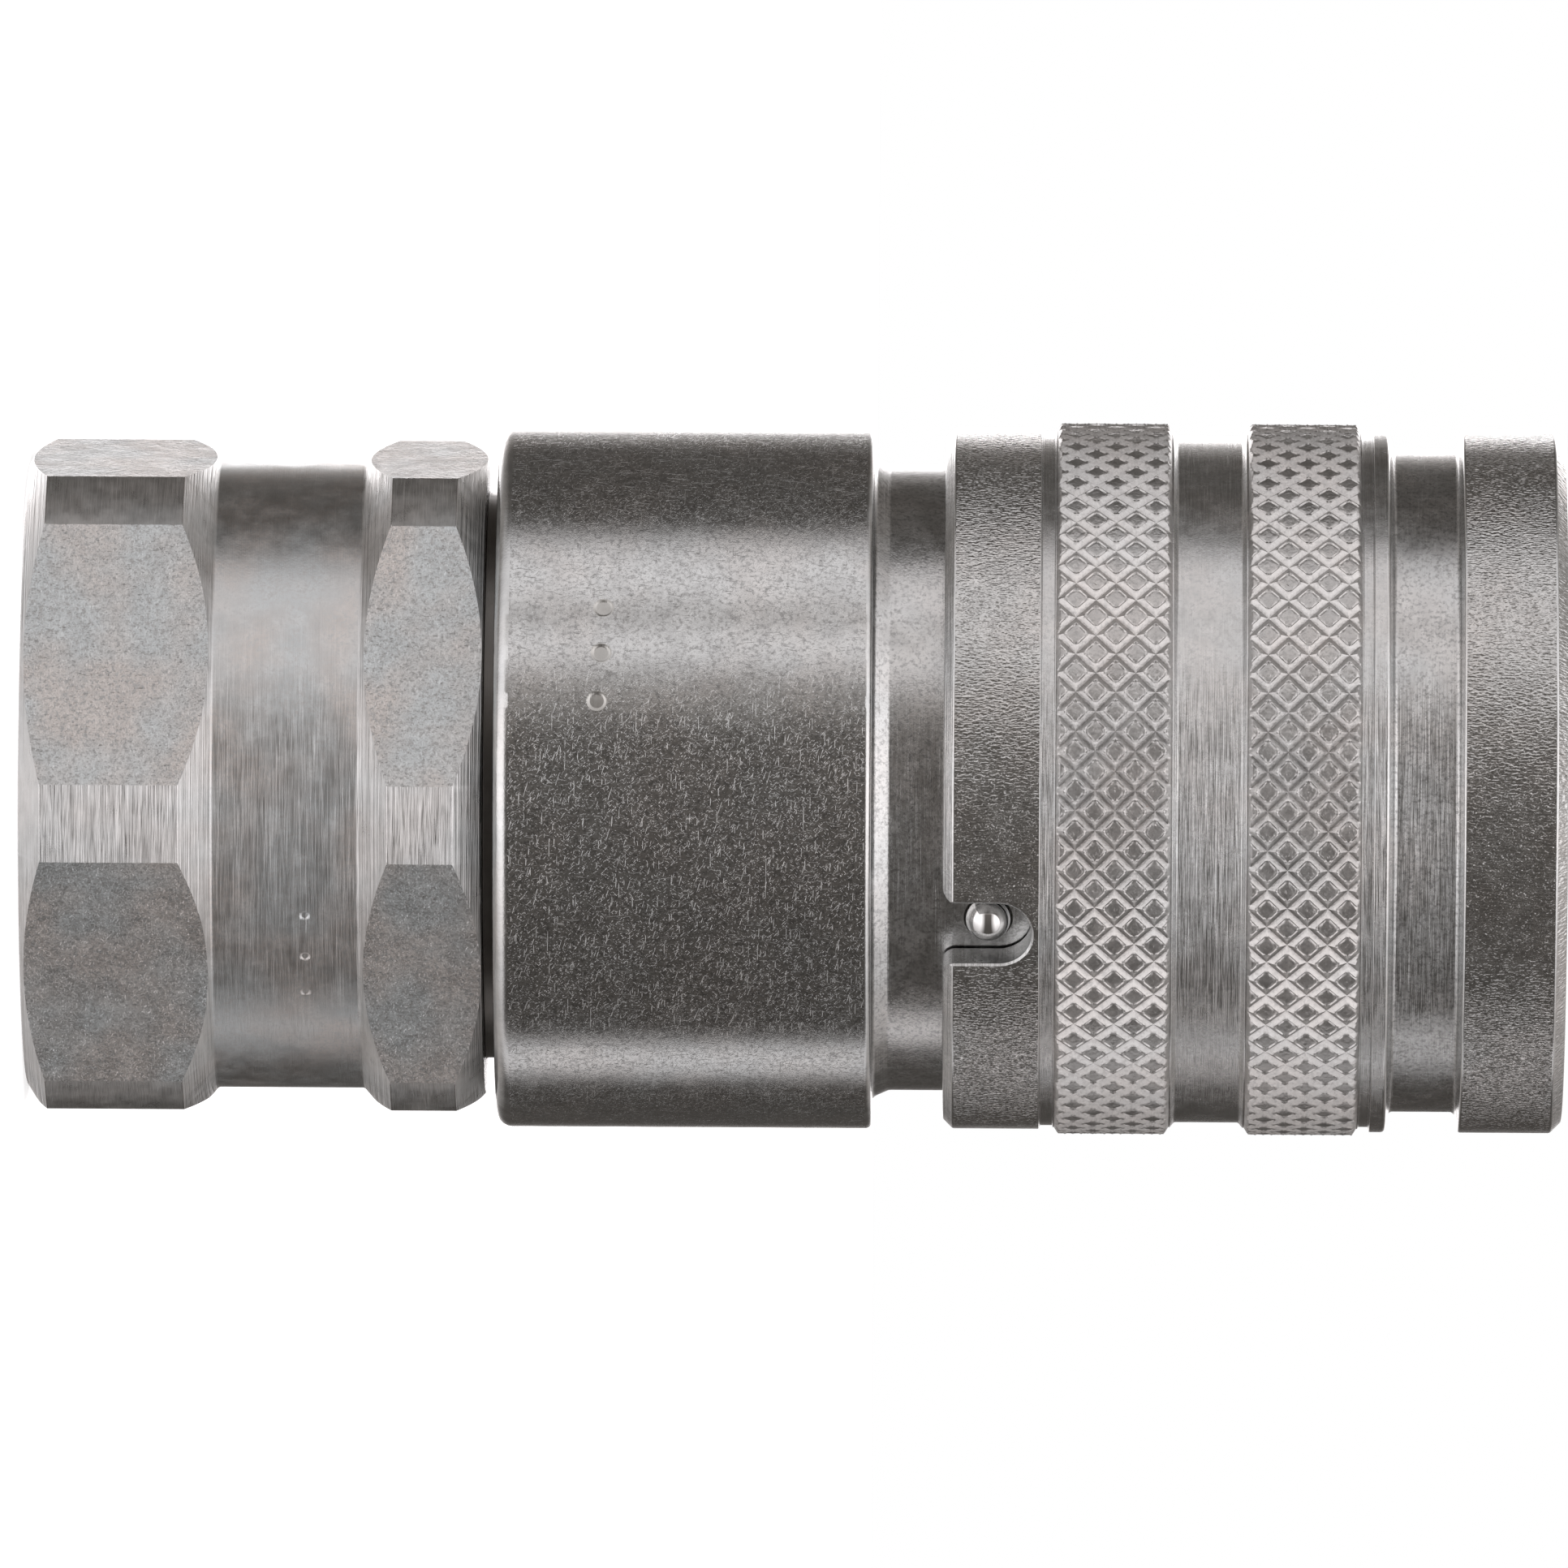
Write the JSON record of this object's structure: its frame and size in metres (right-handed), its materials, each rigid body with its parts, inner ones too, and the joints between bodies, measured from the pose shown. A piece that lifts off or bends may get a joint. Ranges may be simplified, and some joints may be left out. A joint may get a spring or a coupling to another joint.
{
  "type": "quick disconnect coupler",
  "caption": "Female half of a flat-face push-to-connect hydraulic coupler with a hexagon port adapter, a knurled locking sleeve and a safety ball and slot.",
  "frame": {"origin": "centre of the port end face, on the coupler's axis", "axes": "+Z along the axis from the threaded port towards the mating face; the hexagon's corners point along +Y and -Y and two flats face +X and -X"},
  "size_m": [0.038, 0.038, 0.0819],
  "materials": {
    "zinc_steel": "zinc plated turned steel, satin",
    "bearing_steel": "polished",
    "spring_steel": "drawn wire, satin",
    "valve_steel": "fine turned, zinc plated",
    "seal_rubber": "matte",
    "backup_plastic": "matte"
  },
  "bodies": {
    "coupler": {"port_adapter": "zinc_steel", "coupler_body": "zinc_steel", "safety_ball": "bearing_steel", "sleeve_stop_ring": "spring_steel", "sleeve_spring": "spring_steel", "valve_spring": "spring_steel", "valve_stem": "valve_steel", "stem_seal": "seal_rubber", "stem_spider": "valve_steel", "stem_nut": "valve_steel", "adapter_o_ring": "seal_rubber", "socket_o_ring": "seal_rubber", "socket_backup_ring": "backup_plastic"},
    "washer": {"spring_washer": "spring_steel"},
    "sleeve": {"locking_sleeve": "zinc_steel"},
    "valve": {"valve_sleeve": "valve_steel"},
    "ball_1": {"locking_ball_1": "bearing_steel"},
    "ball_2": {"locking_ball_2": "bearing_steel"},
    "ball_3": {"locking_ball_3": "bearing_steel"},
    "ball_4": {"locking_ball_4": "bearing_steel"},
    "ball_5": {"locking_ball_5": "bearing_steel"},
    "ball_6": {"locking_ball_6": "bearing_steel"},
    "ball_7": {"locking_ball_7": "bearing_steel"},
    "ball_8": {"locking_ball_8": "bearing_steel"},
    "ball_9": {"locking_ball_9": "bearing_steel"},
    "ball_10": {"locking_ball_10": "bearing_steel"}
  },
  "joints": [
    {"name": "sleeve_slide", "type": "slide", "parent": "coupler", "child": "washer", "axis": [0, 0, 1], "range_m": [0, 0.0038], "stiffness_N_per_m": 1000, "springref_m": 0.012, "deforming": ["sleeve_spring"]},
    {"name": "sleeve_turn", "type": "hinge", "parent": "washer", "child": "sleeve", "pos_m": [0, 0, 0.065], "axis": [0, 0, 1], "range_deg": [-1.5, 1.5]},
    {"name": "valve_sleeve_slide", "type": "slide", "parent": "coupler", "child": "valve", "axis": [0, 0, -1], "range_m": [0, 0.008], "stiffness_N_per_m": 1500, "springref_m": -0.01, "deforming": ["valve_spring"]},
    {"name": "ball_1_slide", "type": "slide", "parent": "coupler", "child": "ball_1", "axis": [-1, 0, 0], "range_m": [0, 0.0013]},
    {"name": "ball_2_slide", "type": "slide", "parent": "coupler", "child": "ball_2", "axis": [-0.809, -0.5878, 0], "range_m": [0, 0.0013]},
    {"name": "ball_3_slide", "type": "slide", "parent": "coupler", "child": "ball_3", "axis": [-0.309, -0.9511, 0], "range_m": [0, 0.0013]},
    {"name": "ball_4_slide", "type": "slide", "parent": "coupler", "child": "ball_4", "axis": [0.309, -0.9511, 0], "range_m": [0, 0.0013]},
    {"name": "ball_5_slide", "type": "slide", "parent": "coupler", "child": "ball_5", "axis": [0.809, -0.5878, 0], "range_m": [0, 0.0013]},
    {"name": "ball_6_slide", "type": "slide", "parent": "coupler", "child": "ball_6", "axis": [1, 0, 0], "range_m": [0, 0.0013]},
    {"name": "ball_7_slide", "type": "slide", "parent": "coupler", "child": "ball_7", "axis": [0.809, 0.5878, 0], "range_m": [0, 0.0013]},
    {"name": "ball_8_slide", "type": "slide", "parent": "coupler", "child": "ball_8", "axis": [0.309, 0.9511, 0], "range_m": [0, 0.0013]},
    {"name": "ball_9_slide", "type": "slide", "parent": "coupler", "child": "ball_9", "axis": [-0.309, 0.9511, 0], "range_m": [0, 0.0013]},
    {"name": "ball_10_slide", "type": "slide", "parent": "coupler", "child": "ball_10", "axis": [-0.809, 0.5878, 0], "range_m": [0, 0.0013]}
  ],
  "couplings": [
    {"joint": "valve_sleeve_slide", "follows": "sleeve_slide", "ratio": 2.1},
    {"joint": "ball_1_slide", "follows": "sleeve_slide", "ratio": 0.342},
    {"joint": "ball_2_slide", "follows": "sleeve_slide", "ratio": 0.342},
    {"joint": "ball_3_slide", "follows": "sleeve_slide", "ratio": 0.342},
    {"joint": "ball_4_slide", "follows": "sleeve_slide", "ratio": 0.342},
    {"joint": "ball_5_slide", "follows": "sleeve_slide", "ratio": 0.342},
    {"joint": "ball_6_slide", "follows": "sleeve_slide", "ratio": 0.342},
    {"joint": "ball_7_slide", "follows": "sleeve_slide", "ratio": 0.342},
    {"joint": "ball_8_slide", "follows": "sleeve_slide", "ratio": 0.342},
    {"joint": "ball_9_slide", "follows": "sleeve_slide", "ratio": 0.342},
    {"joint": "ball_10_slide", "follows": "sleeve_slide", "ratio": 0.342}
  ]
}
